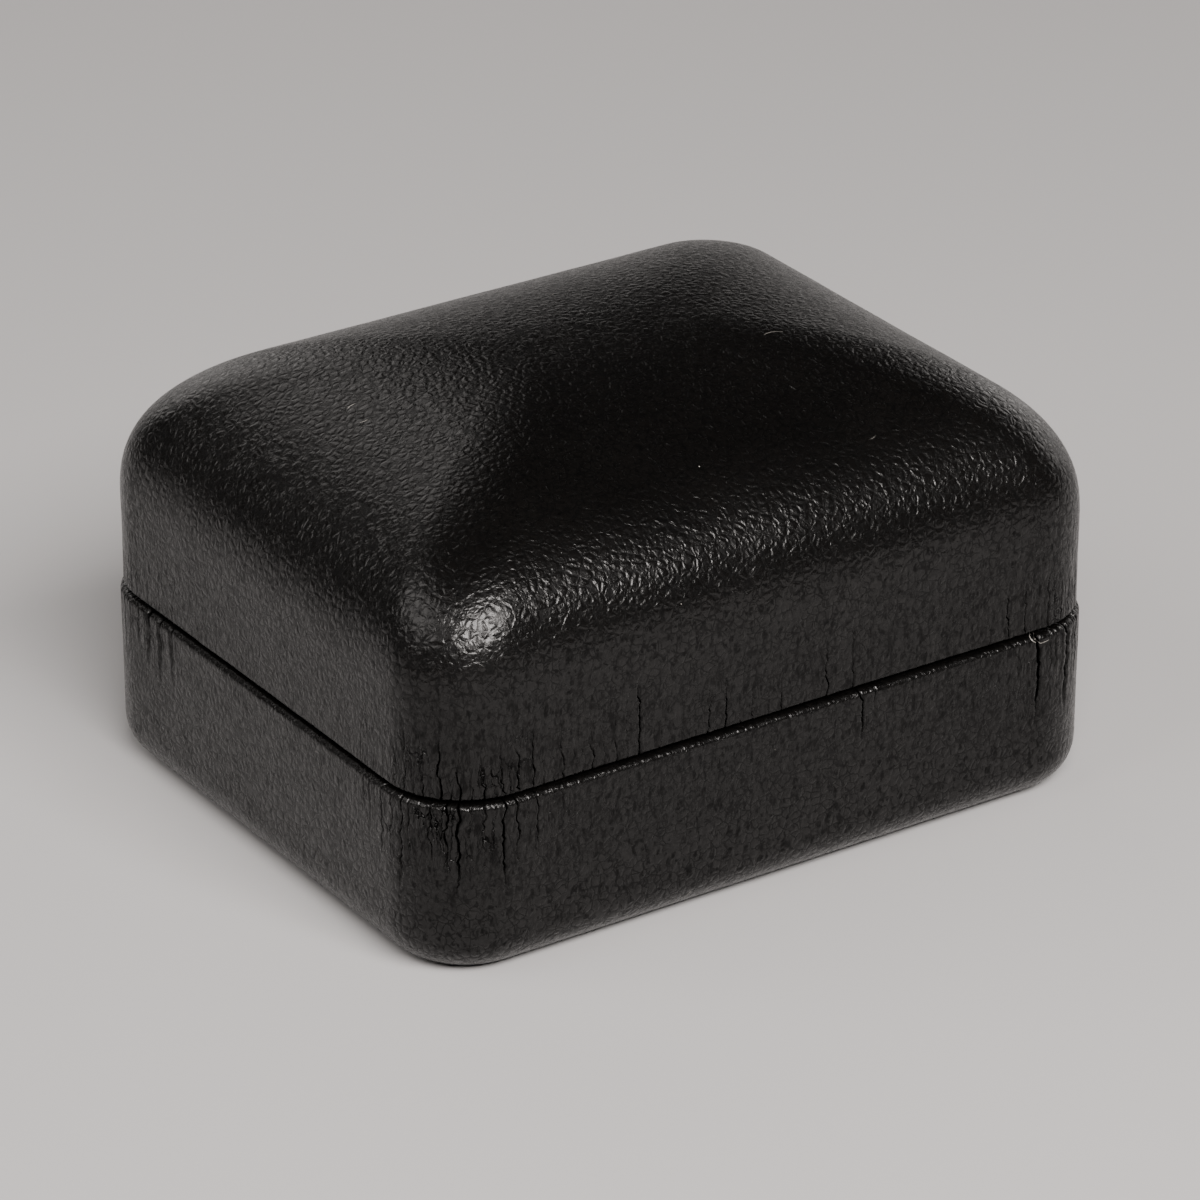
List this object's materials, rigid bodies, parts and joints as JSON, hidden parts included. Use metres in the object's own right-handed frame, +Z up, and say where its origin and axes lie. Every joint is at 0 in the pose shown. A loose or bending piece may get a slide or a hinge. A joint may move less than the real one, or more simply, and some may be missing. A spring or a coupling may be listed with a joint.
{
  "type": "jewelry box",
  "caption": "Small hinged presentation box with a domed, leather-wrapped lid, a snap hinge at the back, and a velvet roll insert for rings and studs.",
  "frame": {"origin": "centre of the flat underside that the box rests on", "axes": "+X along the long side, the front faces -Y and the hinge is at +Y, +Z up"},
  "size_m": [0.076, 0.0633, 0.0446],
  "materials": {
    "black_leather": "satin",
    "shell_plastic": "matte",
    "lining_card": "matte",
    "black_velvet": "matte",
    "ivory_satin": "satin",
    "foam": "matte",
    "hinge_steel": "satin",
    "spring_steel": "satin",
    "rivet_brass": "satin"
  },
  "bodies": {
    "base": {"base_shell": "shell_plastic", "base_leather": "black_leather", "base_floor_card": "lining_card", "collar_card": "lining_card", "collar_velvet": "black_velvet", "insert_board": "lining_card", "hinge_leaf_base": "hinge_steel", "hinge_pin": "hinge_steel", "snap_spring": "spring_steel", "base_rivets": "rivet_brass", "roll_foam_front": "foam", "roll_velvet_front": "black_velvet", "roll_foam_middle": "foam", "roll_velvet_middle": "black_velvet", "roll_foam_back": "foam", "roll_velvet_back": "black_velvet"},
    "lid": {"lid_shell": "shell_plastic", "lid_leather": "black_leather", "lid_lining_card": "lining_card", "lid_lining_satin": "ivory_satin", "lid_pad_card": "lining_card", "lid_pad_wadding": "foam", "lid_pad_satin": "ivory_satin", "hinge_leaf_lid": "hinge_steel", "lid_rivets": "rivet_brass"}
  },
  "joints": [
    {"name": "lid_hinge", "type": "hinge", "parent": "base", "child": "lid", "pos_m": [0, 0.0311, 0.01805], "axis": [-1, 0, 0], "range_deg": [0, 100], "deforming": ["snap_spring"]}
  ]
}
